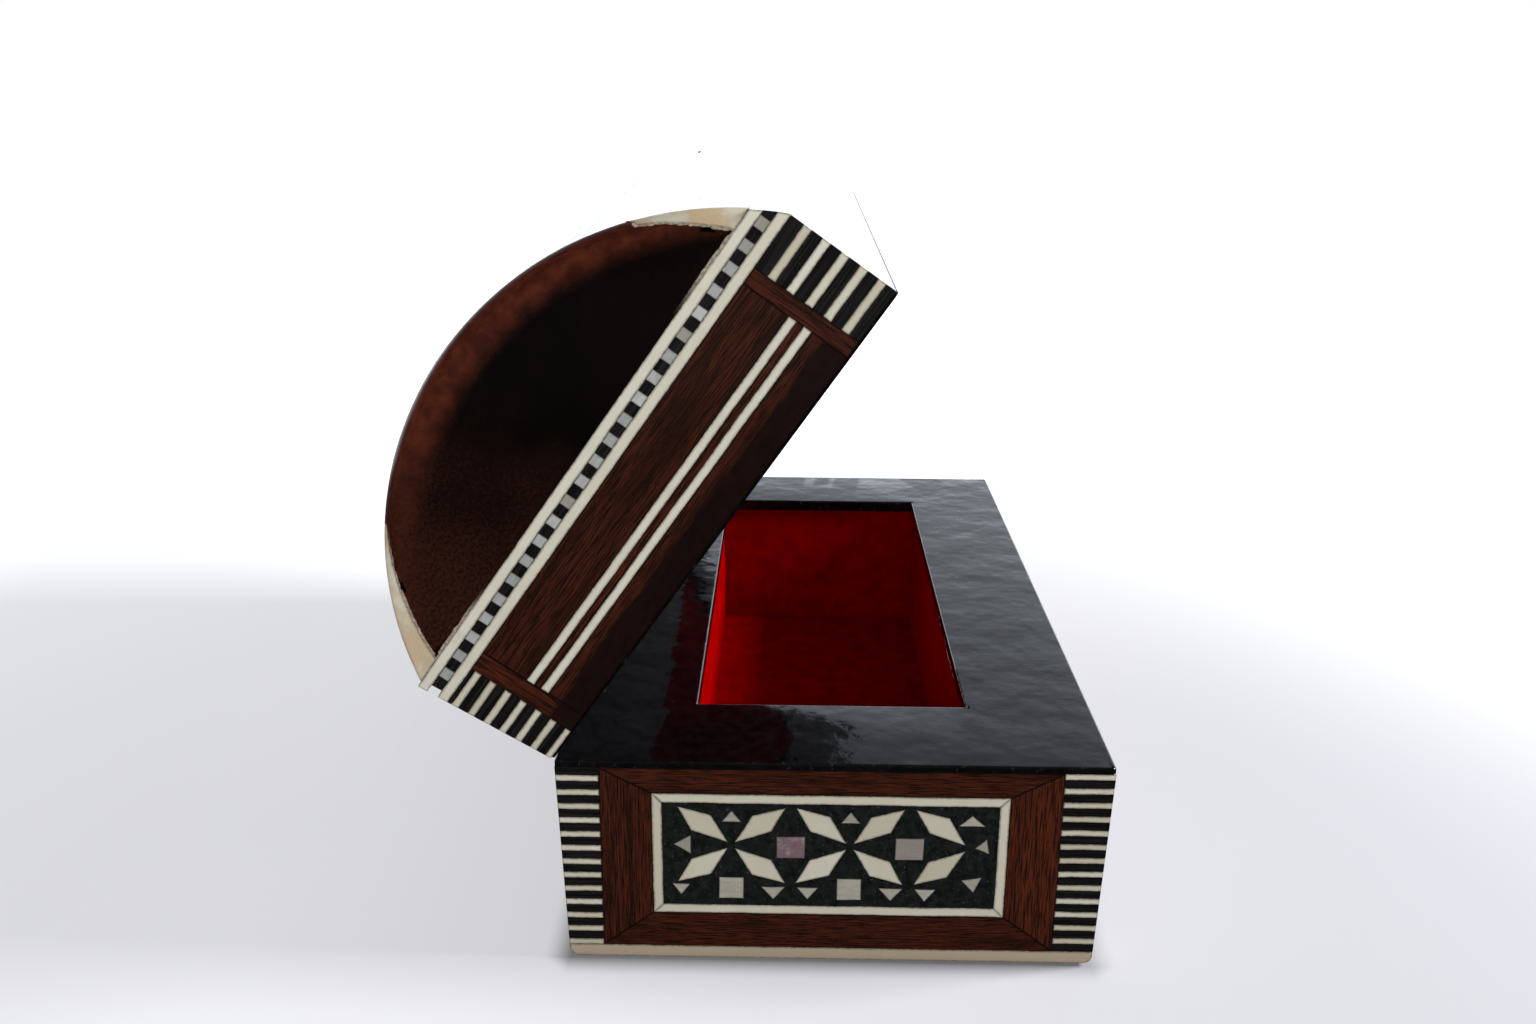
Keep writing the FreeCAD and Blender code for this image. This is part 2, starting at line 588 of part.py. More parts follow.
class DomeTop:
    """The dome's outside: u runs along X from the near end, v along the arc from the front."""

    def __init__(self):
        front_angle = atan2(LID_FRONT_HEIGHT - DOME_H, LID_DEPTH - DOME_S)
        rear_angle = atan2(LID_REAR_HEIGHT - DOME_H, -LID_REAR_LEAN - DOME_S)
        self.start = front_angle
        self.width = LENGTH - 2 * END_PANEL
        self.arc = (rear_angle - front_angle) * DOME_RADIUS
        self.x0 = -END_X + END_PANEL

    def place(self, u, v, radius):
        angle = self.start + v / DOME_RADIUS
        return V(self.x0 + u, DOME_Y - radius * cos(angle), DOME_Z + radius * sin(angle))

    def sector(self, u0, v0, u1, v1):
        """Curved strip of veneer between two lengths and two places on the arc."""
        section = rectangle(u0, DOME_RADIUS - VENEER, u1, DOME_RADIUS)
        ends = [self.place(u, v0, radius) for u, radius in section]
        turn = degrees((v1 - v0) / DOME_RADIUS)
        return face_of(ends).revolve(V(0, DOME_Y, DOME_Z), V(-1, 0, 0), turn)

    def lay(self, outline):
        """Small curved tile: a straight prism trimmed to the veneer's thickness."""
        u_mid = sum(u for u, v in outline) / len(outline)
        v_mid = sum(v for u, v in outline) / len(outline)
        angle = self.start + v_mid / DOME_RADIUS
        out = V(0, -cos(angle), sin(angle))
        around = V(0, sin(angle), cos(angle))
        foot = self.place(u_mid, v_mid, DOME_RADIUS - 2 * VENEER)
        points = [foot + V(u - u_mid, 0, 0) + around * (v - v_mid) for u, v in outline]
        prism = face_of(points).extrude(out * 4 * VENEER)
        reach = 12.0
        patch = self.sector(u_mid - reach, v_mid - reach, u_mid + reach, v_mid + reach)
        return prism.common(patch).Solids[0]


def dome_top():
    """Bone border, rails, stringing and a star field laid over the dome."""
    top = DomeTop()
    outer = (0, 0, top.width, top.arc)
    framed = inset_rectangle(outer, TOP_BORDER)
    panel = inset_rectangle(framed, TOP_PANEL_RAIL)
    field = inset_rectangle(panel, STRING)
    for node, outside, inside in (("lid_top_bone_strips", outer, framed), ("lid_top_rails", framed, panel),
                                  ("lid_top_bone_strips", panel, field)):
        add(node, *[top.sector(*strip) for strip in butted_frame(outside, inside)])
    bone, pearl = star_grid(*field, *TOP_STARS)
    bone = [top.lay(o) for o in bone]
    pearl = [top.lay(o) for o in pearl]
    resin = top.sector(*field).cut(Part.makeCompound(bone + pearl))
    add("lid_top_resin", *resin.Solids)
    add("lid_top_petals", *bone)
    add("lid_top_pearl_tiles", *pearl)


def butted_frame(outer, inner):
    """Two long strips and two cross strips between rectangles, butted at the corners."""
    u0, v0, u1, v1 = outer
    a0, b0, a1, b1 = inner
    return [(u0, v0, u1, b0), (u0, b1, u1, v1), (u0, b0, a0, b1), (a1, b0, u1, b1)]


# ---------------------------------------------------------------- hinges
def knuckle_spans():
    """Base knuckle, lid knuckle, base knuckle along one hinge."""
    third = HINGE_LENGTH / 3
    edges = [-HINGE_LENGTH / 2 + k * third for k in range(4)]
    return [(a + KNUCKLE_GAP / 2, b - KNUCKLE_GAP / 2) for a, b in zip(edges, edges[1:])]


def hinge_leaf(x, spans, up):
    """A leaf let into one rim, with its knuckles; up is 1 on the lid and -1 on the base."""
    half = HINGE_LENGTH / 2
    low, high = sorted((PIN_Z + up * CLOSED_GAP, PIN_Z + up * (CLOSED_GAP + LEAF)))
    reach_y = REAR_Y - LEAF_REACH
    clear_y = REAR_Y - KNUCKLE_RADIUS - MORTISE_CLEARANCE
    leaf = box(x - half, reach_y, low, x + half, clear_y, high)
    for a, b in spans:
        tongue = box(x + a, clear_y, low, x + b, REAR_Y, high)
        knuckle = rod_x(KNUCKLE_RADIUS, x + a, x + b, REAR_Y, PIN_Z)
        leaf = leaf.fuse(tongue).fuse(knuckle)
    bore = rod_x(PIN_RADIUS + PIN_CLEARANCE, x - half - 1, x + half + 1, REAR_Y, PIN_Z)
    return leaf.removeSplitter().cut(bore)


def screw(x, up):
    """Countersunk screw with its head flush with the leaf."""
    y = REAR_Y - 0.6 * LEAF_REACH
    head_z = PIN_Z + up * CLOSED_GAP
    into = V(0, 0, up)
    head = Part.makeCone(SCREW_HEAD_RADIUS, SCREW_RADIUS, LEAF * 0.75, V(x, y, head_z), into)
    shank = Part.makeCylinder(SCREW_RADIUS, SCREW_LENGTH, V(x, y, head_z), into)
    return head.fuse(shank).removeSplitter()


def pin_heads(x):
    half = HINGE_LENGTH / 2
    pin = rod_x(PIN_RADIUS, x - half, x + half, REAR_Y, PIN_Z)
    cap = 0.4
    for x0 in (x - half - cap, x + half):
        pin = pin.fuse(rod_x(PIN_RADIUS * 1.5, x0, x0 + cap, REAR_Y, PIN_Z))
    return pin.removeSplitter()


def hinges():
    """Two hinges and their screws, with mortises cut for them in both rims."""
    half = HINGE_LENGTH / 2 + MORTISE_CLEARANCE
    outer, middle, other = knuckle_spans()
    sets = {"base": (-1, (outer, other)), "lid": (1, (middle,))}
    for part, (up, spans) in sets.items():
        cutters = []
        for centre in (-HINGE_FROM_MIDDLE, HINGE_FROM_MIDDLE):
            screws = [screw(centre + dx, up) for dx in (-HINGE_LENGTH * 0.3, HINGE_LENGTH * 0.3)]
            leaf = hinge_leaf(centre, spans, up)
            for s in screws:
                leaf = leaf.cut(s)
            add(part + "_hinge_leaves", leaf)
            add(part + "_hinge_screws", *screws)
            low, high = sorted((PIN_Z, PIN_Z + up * (CLOSED_GAP + LEAF)))
            cutters.append(box(centre - half, REAR_Y - LEAF_REACH, low, centre + half, REAR_Y + 5, high))
            barrel = KNUCKLE_RADIUS + MORTISE_CLEARANCE
            cutters.append(rod_x(barrel, centre - half - 0.5, centre + half + 0.5, REAR_Y, PIN_Z))
            cutters += screws
        let_in(part, Part.makeCompound(cutters))
    add("hinge_pins", *[pin_heads(x) for x in (-HINGE_FROM_MIDDLE, HINGE_FROM_MIDDLE)])


def let_in(part, cutter):
    rear_pieces = ["rim_plate", "rear_wall", "rear_rails"]
    for name in rear_pieces:
        node = "%s_%s" % (part, name)
        nodes[node] = [s for piece in nodes[node] for s in piece.cut(cutter).Solids]


# ---------------------------------------------------------------- assembly
def swing_open(solid):
    turned = solid.copy()
    turned.rotate(V(0, REAR_Y, PIN_Z), V(-1, 0, 0), OPEN_AT_REST)
    return turned


def build():
    base_woodwork()
    base_linings()
    add("base_rim_plate", rim_plate(-REAR_Y, REAR_Y, BASE_HEIGHT, PLATE_UNDER, LIP_UNDER, RIM_ROUNDING))
    base_band()
    base_sides()
    lid_woodwork()
    lid_linings()
    lid_plate = rim_plate(lid_y(LID_DEPTH), REAR_Y, lid_z(CLOSED_GAP), lid_z(LID_PLATE_TOP),
                          lid_z(LID_PLATE_TOP + LIP_DEEP), LID_RIM_ROUNDING)
    add("lid_rim_plate", lid_plate)
    lid_sides()
    dome_ends()
    dome_top()
    hinges()


def export():
    os.makedirs("parts", exist_ok=True)
    for node, solids in nodes.items():
        if node.startswith("lid_"):
            solids = [swing_open(s) for s in solids]
        shape = solids[0] if len(solids) == 1 else Part.makeCompound(solids)
        shape.exportStep("parts/%s.step" % node)
        volume = sum(s.Volume for s in solids)
        print("%-28s %4d solids %10.1f mm3 valid %s" % (node, len(solids), volume, shape.isValid()))
    print(len(nodes), "nodes")


build()
export()
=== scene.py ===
"""Looks of the inlaid wooden box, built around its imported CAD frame.

Every sawn piece is taken from its CAD solid, given a hand-cut edge, an eased arris and its own tone and
grain, and laid back in the same place.  Metres, in the CAD frame.
"""

import json
import math
import random

import bmesh
import bpy
import numpy as np
from mathutils import Matrix, Vector, noise
from mathutils.bvhtree import BVHTree

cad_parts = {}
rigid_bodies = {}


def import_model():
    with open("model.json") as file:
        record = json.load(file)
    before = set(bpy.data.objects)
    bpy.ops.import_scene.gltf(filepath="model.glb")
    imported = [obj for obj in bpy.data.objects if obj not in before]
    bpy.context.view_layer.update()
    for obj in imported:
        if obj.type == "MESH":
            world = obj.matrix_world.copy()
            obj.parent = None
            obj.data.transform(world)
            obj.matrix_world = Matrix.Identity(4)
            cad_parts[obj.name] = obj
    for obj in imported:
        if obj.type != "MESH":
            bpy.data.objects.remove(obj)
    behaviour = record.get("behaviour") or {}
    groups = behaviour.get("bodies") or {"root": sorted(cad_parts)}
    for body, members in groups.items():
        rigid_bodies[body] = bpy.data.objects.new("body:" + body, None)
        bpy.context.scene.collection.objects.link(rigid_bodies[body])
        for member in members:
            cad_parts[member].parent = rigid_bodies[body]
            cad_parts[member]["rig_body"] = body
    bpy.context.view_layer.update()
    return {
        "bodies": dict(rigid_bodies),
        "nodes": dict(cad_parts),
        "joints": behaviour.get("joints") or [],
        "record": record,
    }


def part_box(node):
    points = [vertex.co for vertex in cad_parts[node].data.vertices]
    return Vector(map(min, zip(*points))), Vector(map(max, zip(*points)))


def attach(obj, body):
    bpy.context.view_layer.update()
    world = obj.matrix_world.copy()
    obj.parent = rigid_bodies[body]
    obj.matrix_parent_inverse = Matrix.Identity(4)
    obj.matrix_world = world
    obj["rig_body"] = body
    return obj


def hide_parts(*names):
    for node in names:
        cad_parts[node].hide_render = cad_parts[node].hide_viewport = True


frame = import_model()

MM = 0.001

# ---------------------------------------------------------------- camera: the near end, a little above
CAMERA_AT = Vector((-0.2782, 0.00769, 0.1424))
CAMERA_YAW = -0.0158
CAMERA_DOWN = 0.3128
CAMERA_ROLL = 0.007
LENS = 32.8125
SENSOR = 36.0
CLIP_START = 0.01


# ---------------------------------------------------------------- node helpers
class Nodes:
    """A node tree that grows one call at a time."""

    def __init__(self, tree):
        self.tree = tree
        tree.nodes.clear()

    def put(self, socket, value):
        if isinstance(value, bpy.types.NodeSocket):
            self.tree.links.new(value, socket)
        else:
            socket.default_value = value

    def attribute(self, name):
        node = self.tree.nodes.new("ShaderNodeAttribute")
        node.attribute_name = name
        return node

    def vector(self, name):
        return self.attribute(name).outputs["Vector"]

    def value(self, name):
        return self.attribute(name).outputs["Fac"]

    def place(self):
        return self.tree.nodes.new("ShaderNodeTexCoord").outputs["Object"]

    def stretch(self, vector, scale):
        node = self.tree.nodes.new("ShaderNodeMapping")
        self.put(node.inputs["Vector"], vector)
        node.inputs["Scale"].default_value = scale
        return node.outputs[0]

    def noise(self, vector, scale, detail=4.0, rough=0.55, bend=0.0):
        node = self.tree.nodes.new("ShaderNodeTexNoise")
        self.put(node.inputs["Vector"], vector)
        for key, value in (("Scale", scale), ("Detail", detail), ("Roughness", rough), ("Distortion", bend)):
            node.inputs[key].default_value = value
        return node.outputs["Fac"]

    def cells(self, vector, scale, feature="F1"):
        node = self.tree.nodes.new("ShaderNodeTexVoronoi")
        node.feature = feature
        self.put(node.inputs["Vector"], vector)
        node.inputs["Scale"].default_value = scale
        return node

    def axes(self, vector):
        node = self.tree.nodes.new("ShaderNodeSeparateXYZ")
        self.put(node.inputs[0], vector)
        return node.outputs["X"], node.outputs["Y"], node.outputs["Z"]

    def span(self, value, low, high, bottom=0.0, top=1.0):
        """Goes softly from bottom to top while the value goes from low to high."""
        node = self.tree.nodes.new("ShaderNodeMapRange")
        node.interpolation_type = "SMOOTHSTEP"
        self.put(node.inputs["Value"], value)
        for key, number in (("From Min", low), ("From Max", high), ("To Min", bottom), ("To Max", top)):
            node.inputs[key].default_value = number
        return node.outputs["Result"]

    def math(self, kind, a, b=0.0):
        node = self.tree.nodes.new("ShaderNodeMath")
        node.operation = kind
        self.put(node.inputs[0], a)
        self.put(node.inputs[1], b)
        return node.outputs[0]

    def mix(self, share, a, b, blend="MIX"):
        node = self.tree.nodes.new("ShaderNodeMix")
        node.data_type = "RGBA"
        node.blend_type = blend
        self.put(node.inputs[0], share)
        for socket, value in ((node.inputs[6], a), (node.inputs[7], b)):
            self.put(socket, value)
        return node.outputs[2]

    def ramp(self, value, *stops):
        node = self.tree.nodes.new("ShaderNodeValToRGB")
        self.put(node.inputs["Fac"], value)
        marks = node.color_ramp.elements
        while len(marks) < len(stops):
            marks.new(0.5)
        for mark, (at, colour) in zip(marks, stops):
            mark.position = at
            mark.color = colour
        return node.outputs["Color"]

    def bump(self, height, distance, strength=1.0, under=None):
        node = self.tree.nodes.new("ShaderNodeBump")
        self.put(node.inputs["Height"], height)
        node.inputs["Distance"].default_value = distance
        node.inputs["Strength"].default_value = strength
        if under is not None:
            self.put(node.inputs["Normal"], under)
        return node.outputs["Normal"]


class Paint(Nodes):
    """A material round one principled shader."""

    def __init__(self, name):
        self.material = bpy.data.materials.new(name)
        self.material.use_nodes = True
        super().__init__(self.material.node_tree)
        self.shader = self.tree.nodes.new("ShaderNodeBsdfPrincipled")
        out = self.tree.nodes.new("ShaderNodeOutputMaterial")
        self.tree.links.new(self.shader.outputs[0], out.inputs["Surface"])

    def set(self, **values):
        for key, value in values.items():
            self.put(self.shader.inputs[key.replace("_", " ")], value)


def tint(red, green, blue):
    """Linear colour from the 0-255 display values."""
    def linear(c):
        c = c / 255
        return c / 12.92 if c <= 0.04045 else ((c + 0.055) / 1.055) ** 2.4

    return linear(red), linear(green), linear(blue), 1.0


# ---------------------------------------------------------------- materials
def rosewood(name):
    """Straight-grained red-brown wood with near-black streaks, darkened at the foot of the lid."""
    p = Paint(name)
    lay = p.vector("lay")
    dark = tint(24, 8, 3)
    streaks = p.noise(p.stretch(lay, (230, 4600, 3000)), 1.0, detail=5.0, rough=0.66)
    broad = p.noise(p.stretch(lay, (40, 620, 400)), 1.0, detail=3.0, rough=0.55)
    pores = p.noise(p.stretch(lay, (260, 6400, 3000)), 1.0, detail=2.0, rough=0.7)
    body = p.mix(p.span(streaks, 0.36, 0.64), dark, tint(92, 38, 14))
    body = p.mix(p.span(broad, 0.46, 0.68, top=0.6), body, dark)
    body = p.mix(p.math("MULTIPLY", p.value("tone"), 0.5), body, tint(22, 8, 4))
    body = p.mix(p.span(pores, 0.6, 0.78, top=0.6), body, tint(8, 3, 2))
    foot = p.math("ADD", p.value("height"), p.math("MULTIPLY", p.noise(lay, 90, detail=2.0), 2.2))
    body = p.mix(p.span(foot, 4.9, 6.1, bottom=0.8, top=0.0), body, tint(9, 4, 3))
    body = p.mix(p.math("MULTIPLY", p.value("rim"), 0.85), body, tint(7, 3, 2))
    uneven = p.noise(lay, 260, detail=2.0)
    normal = p.bump(pores, 0.00003, strength=0.5)
    normal = p.bump(uneven, 0.00012, strength=0.5, under=normal)
    p.set(Base_Color=body, Roughness=p.span(streaks, 0.2, 0.8, bottom=0.32, top=0.46), Normal=normal)
    p.set(Specular_IOR_Level=0.05, Coat_Weight=1.0, Coat_Roughness=0.07)
    return p.material


def bone(name, stained=0.0):
    """Sawn and polished camel bone: cream, each slip a little different, brown where glue crept in."""
    p = Paint(name)
    lay = p.vector("lay")
    tone = p.value("tone")
    cloud = p.noise(lay, 300, detail=3.0, rough=0.5)
    body = p.ramp(tone, (0.0, tint(184, 165, 140)), (0.15, tint(190, 183, 160)), (0.55, tint(203, 198, 177)),
                  (1.0, tint(214, 210, 192)))
    body = p.mix(p.span(cloud, 0.35, 0.7, top=0.22), body, tint(190, 180, 152))
    fibres = p.noise(p.stretch(lay, (220, 4200, 4200)), 1.0, detail=3.0, rough=0.6)
    body = p.mix(p.span(fibres, 0.56, 0.8, top=0.14), body, tint(160, 146, 118))
    stains = p.noise(lay, 170, detail=5.0, rough=0.62)
    body = p.mix(p.span(stains, 0.64, 0.8, top=0.4), body, tint(146, 116, 76))
    varnish = p.span(p.noise(lay, 130, detail=4.0, rough=0.6), 0.42, 0.6, top=stained)
    body = p.mix(varnish, body, p.mix(p.span(fibres, 0.3, 0.7), tint(206, 164, 108), tint(170, 158, 138)))
    ragged = p.noise(lay, 1500, detail=3.0, rough=0.6)
    edge = p.math("MULTIPLY", p.value("rim"), p.span(ragged, 0.25, 0.7, bottom=0.35))
    body = p.mix(p.math("MULTIPLY", edge, 0.8), body, tint(62, 48, 34))
    normal = p.bump(fibres, 0.00002, strength=0.4)
    normal = p.bump(cloud, 0.0001, strength=0.3, under=normal)
    p.set(Base_Color=body, Roughness=p.span(cloud, 0.3, 0.7, bottom=0.3, top=0.42), Normal=normal)
    p.set(Subsurface_Weight=0.1, Subsurface_Radius=(0.0012, 0.0009, 0.0006), Subsurface_Scale=1.0)
    p.set(Specular_IOR_Level=0.2, Coat_Weight=1.0, Coat_Roughness=0.08)
    return p.material


def black_slip(name):
    """Black-dyed wood between the bone slips."""
    p = Paint(name)
    lay = p.vector("lay")
    grain = p.noise(p.stretch(lay, (60, 2400, 2400)), 1.0, detail=4.0, rough=0.6)
    body = p.mix(p.span(grain, 0.35, 0.7), tint(7, 7, 7), tint(34, 31, 29))
    body = p.mix(p.math("MULTIPLY", p.value("tone"), 0.5), body, tint(15, 13, 12))
    normal = p.bump(grain, 0.00004, strength=0.5)
    p.set(Base_Color=body, Roughness=p.span(grain, 0.2, 0.8, bottom=0.3, top=0.45), Normal=normal)
    p.set(Specular_IOR_Level=0.1, Coat_Weight=1.0, Coat_Roughness=0.08)
    return p.material


def black_resin(name):
    """Black filling paste, faintly green, with pale specks of dust in it."""
    p = Paint(name)
    place = p.place()
    cloud = p.noise(place, 700, detail=4.0, rough=0.65)
    body = p.mix(p.span(cloud, 0.35, 0.7), tint(13, 16, 15), tint(30, 34, 31))
    specks = p.cells(place, 2600).outputs["Distance"]
    chosen = p.noise(place, 1500, detail=2.0, rough=0.7)
    speck = p.math("MULTIPLY", p.span(specks, 0.2, 0.34, bottom=1.0, top=0.0), p.span(chosen, 0.52, 0.66))
    body = p.mix(p.math("MULTIPLY", speck, 0.5), body, tint(96, 104, 92))
    normal = p.bump(cloud, 0.00008, strength=0.5)
    p.set(Base_Color=body, Roughness=p.span(cloud, 0.3, 0.7, bottom=0.34, top=0.5), Normal=normal)
    p.set(Specular_IOR_Level=0.1, Coat_Weight=1.0, Coat_Roughness=0.08)
    return p.material


def mother_of_pearl(name):
    """Grey-white shell whose sheen drifts from pink to green across a tile."""
    p = Paint(name)
    lay = p.vector("lay")
    tone = p.value("tone")
    layers = p.noise(p.stretch(lay, (260, 900, 900)), 1.0, detail=4.0, rough=0.6, bend=1.4)
    base = p.ramp(tone, (0.0, tint(196, 198, 196)), (0.2, tint(160, 164, 162)), (0.32, tint(154, 146, 126)),
                  (0.44, tint(190, 186, 170)), (0.55, tint(150, 142, 132)),
                  (0.8, tint(132, 118, 124)), (1.0, tint(116, 68, 96)))
    sheen = p.ramp(layers, (0.28, tint(146, 122, 132)), (0.45, tint(172, 166, 148)),
                   (0.58, tint(128, 134, 120)), (0.75, tint(182, 176, 164)))
    body = p.mix(p.span(layers, 0.3, 0.7, bottom=0.1, top=0.45), base, sheen)
    blotch = p.math("MULTIPLY", p.span(tone, 0.6, 0.7), p.span(p.noise(lay, 420, detail=3.0), 0.5, 0.58))
    body = p.mix(p.math("MULTIPLY", blotch, 0.8), body, tint(150, 146, 128))
    body = p.mix(p.math("MULTIPLY", p.value("rim"), 0.7), body, tint(48, 44, 38))
    normal = p.bump(layers, 0.00006, strength=0.4)
    p.set(Base_Color=body, Roughness=0.26, Normal=normal)
    p.set(Metallic=0.1, Coat_Weight=0.5, Coat_Roughness=0.08)
    return p.material


def lacquer(name, gloss=0.06, shine=0.5):
    """Thick black lacquer with orange peel, dust nibs and edges rubbed through to grey.

    Its gloss is the least roughness that it has.
    """
    p = Paint(name)
    place = p.place()
    peel = p.noise(place, 120, detail=2.0, rough=0.45)
    fine = p.noise(place, 520, detail=2.0, rough=0.5)
    nibs = p.cells(place, 420).outputs["Distance"]
    few = p.noise(place, 160, detail=2.0, rough=0.6)
    nib = p.math("MULTIPLY", p.span(nibs, 0.05, 0.2, bottom=1.0, top=0.0), p.span(few, 0.62, 0.68))
    body = p.mix(p.span(fine, 0.3, 0.7), tint(4, 3, 4), tint(10, 9, 10))
    wear = p.math("MULTIPLY", p.value("rim"), p.span(p.noise(place, 900, detail=4.0, rough=0.7), 0.56, 0.7))
    body = p.mix(p.math("MULTIPLY", wear, 0.12), body, tint(120, 112, 106))
    normal = p.bump(peel, 0.0007, strength=0.4)
    normal = p.bump(fine, 0.00008, strength=0.4, under=normal)
    normal = p.bump(nib, 0.0001, strength=0.35, under=normal)
    p.set(Base_Color=body, Roughness=p.span(fine, 0.3, 0.7, bottom=gloss, top=gloss + 0.06), Normal=normal)
    p.set(Specular_IOR_Level=shine)
    return p.material


def velvet(name):
    """Short red pile."""
    p = Paint(name)
    place = p.place()
    nap = p.noise(place, 260, detail=3.0, rough=0.55)
    pile = p.noise(place, 5200, detail=2.0, rough=0.7)
    body = p.mix(p.span(nap, 0.3, 0.7), tint(126, 0, 0), tint(150, 0, 0))
    body = p.mix(p.span(pile, 0.4, 0.75, top=0.4), body, tint(84, 0, 0))
    normal = p.bump(pile, 0.0001, strength=0.7)
    normal = p.bump(nap, 0.0004, strength=0.3, under=normal)
    p.set(Base_Color=body, Roughness=0.85, Normal=normal)
    p.set(Sheen_Weight=0.2, Sheen_Roughness=0.4, Sheen_Tint=(0.8, 0.0, 0.0, 1.0), Specular_IOR_Level=0.0)
    return p.material


def burl(name, radius):
    """Dark fine-grained burl under a deep gloss, redder outside an inner arc of this radius."""
    p = Paint(name)
    lay = p.vector("lay")
    across, high, _ = p.axes(lay)
    out = p.math("SQRT", p.math("ADD", p.math("MULTIPLY", across, across), p.math("MULTIPLY", high, high)))
    cloud = p.noise(lay, 70, detail=3.0, rough=0.5)
    mottle = p.noise(lay, 1700, detail=4.0, rough=0.7)
    body = p.mix(p.span(cloud, 0.35, 0.68), tint(3, 0, 0), tint(10, 3, 1))
    rear = p.math("ADD", across, p.math("MULTIPLY", p.math("SUBTRACT", cloud, 0.5), 0.03))
    paler = p.mix(p.span(mottle, 0.35, 0.66), tint(28, 11, 6), tint(54, 25, 15))
    body = p.mix(p.span(rear, -0.004, 0.034), body, paler)
    body = p.mix(p.span(mottle, 0.58, 0.76, top=0.25), body, tint(50, 22, 10))
    edge = p.math("SUBTRACT", out, radius)
    edge = p.math("ADD", edge, p.math("MULTIPLY", cloud, 0.001))
    streak = p.noise(p.stretch(lay, (300, 300, 1500)), 1.0, detail=3.0, rough=0.6)
    worn = p.mix(p.span(streak, 0.35, 0.68), tint(60, 23, 12), tint(88, 38, 21))
    low = p.span(across, 0.004, 0.03, bottom=1.0, top=0.3)
    body = p.mix(p.math("MULTIPLY", p.span(edge, -0.001, 0.0034, top=0.9), low), body, worn)
    foot = p.span(p.math("ABSOLUTE", across), 0.025, 0.034)
    smear = p.math("MULTIPLY", p.value("rim"), p.math("ADD", p.noise(lay, 520, detail=4.0, rough=0.7), 0.35))
    smear = p.math("MULTIPLY", p.span(smear, 0.42, 0.5), foot)
    body = p.mix(smear, body, p.mix(p.span(mottle, 0.35, 0.6), tint(184, 168, 140), tint(120, 112, 100)))
    scratch = p.noise(p.stretch(lay, (9000, 240, 240)), 1.0, detail=1.0, rough=0.5)
    uneven = p.noise(lay, 130, detail=2.0)
    normal = p.bump(uneven, 0.0004, strength=0.35)
    normal = p.bump(mottle, 0.00003, strength=0.3, under=normal)
    normal = p.bump(p.span(scratch, 0.7, 0.74), 0.00003, strength=0.3, under=normal)
    p.set(Base_Color=body, Roughness=p.span(mottle, 0.3, 0.7, bottom=0.26, top=0.38), Normal=normal)
    p.set(Specular_IOR_Level=0.03, Coat_Weight=0.6, Coat_Roughness=0.07)
    return p.material


def felt(name):
    """Pressed black felt."""
    p = Paint(name)
    place = p.place()
    fibre = p.noise(place, 3000, detail=4.0, rough=0.7)
    body = p.mix(p.span(fibre, 0.35, 0.7), tint(16, 15, 16), tint(40, 38, 38))
    p.set(Base_Color=body, Roughness=0.95, Normal=p.bump(fibre, 0.0002, strength=0.7), Sheen_Weight=0.3)
    return p.material


def brass(name):
    """Drawn brass gone dull, with darker patches and fine scratches."""
    p = Paint(name)
    place = p.place()
    cloud = p.noise(place, 500, detail=4.0, rough=0.6)
    lines = p.noise(p.stretch(place, (400, 9000, 9000)), 1.0, detail=2.0, rough=0.6)
    body = p.mix(p.span(cloud, 0.35, 0.7), tint(196, 156, 84), tint(136, 100, 50))
    p.set(Base_Color=body, Metallic=1.0, Roughness=p.span(lines, 0.3, 0.7, bottom=0.24, top=0.42))
    p.set(Normal=p.bump(lines, 0.00003, strength=0.4))
    return p.material


def core_wood(name):
    """Plain beech of the carcass, which shows only in gaps."""
    p = Paint(name)
    place = p.place()
    grain = p.noise(p.stretch(place, (40, 900, 900)), 1.0, detail=5.0, rough=0.6)
    body = p.mix(p.span(grain, 0.3, 0.7), tint(150, 112, 74), tint(186, 150, 108))
    p.set(Base_Color=body, Roughness=0.6, Normal=p.bump(grain, 0.0001, strength=0.4))
    return p.material


MATERIALS = {
    "rosewood": rosewood("rosewood_rails"),
    "bone": bone("polished_bone"),
    "stained_bone": bone("stained_bone", 0.75),
    "black_lacquer": lacquer("black_lacquer_gloss"),
    "dull_lacquer": lacquer("black_lacquer_dull", 0.3, 0.02),
    "red_velvet": velvet("red_velvet_pile"),
    "black_felt": felt("black_felt_sheet"),
    "brass": brass("dull_brass"),
    "core_wood": core_wood("beech_core"),
    "black_resin": black_resin("black_paste"),
    "mother_of_pearl": mother_of_pearl("mother_of_pearl_shell"),
    "black_slip": black_slip("black_dyed_wood"),
}


# ---------------------------------------------------------------- reading the CAD solids
LID_HINGE = frame["joints"][0]
CLEAR_OF_FACE = 0.02 * MM                                # a ray from a face starts this far off it


def members(body):
    return [n for n, o in frame["nodes"].items() if o["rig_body"] == body]


def shut_matrix(body):
    """Turns a body's resting place into its shut one, where its sides are upright."""
    if body != LID_HINGE["child"]:
        return Matrix.Identity(4)
    pin = Matrix.Translation(Vector(LID_HINGE["pos_m"]))
    turn = Matrix.Rotation(math.radians(LID_HINGE["range_deg"][0]), 4, Vector(LID_HINGE["axis"]))
    return pin @ turn @ pin.inverted()


UPRIGHT = {body: shut_matrix(body) for body in frame["bodies"]}


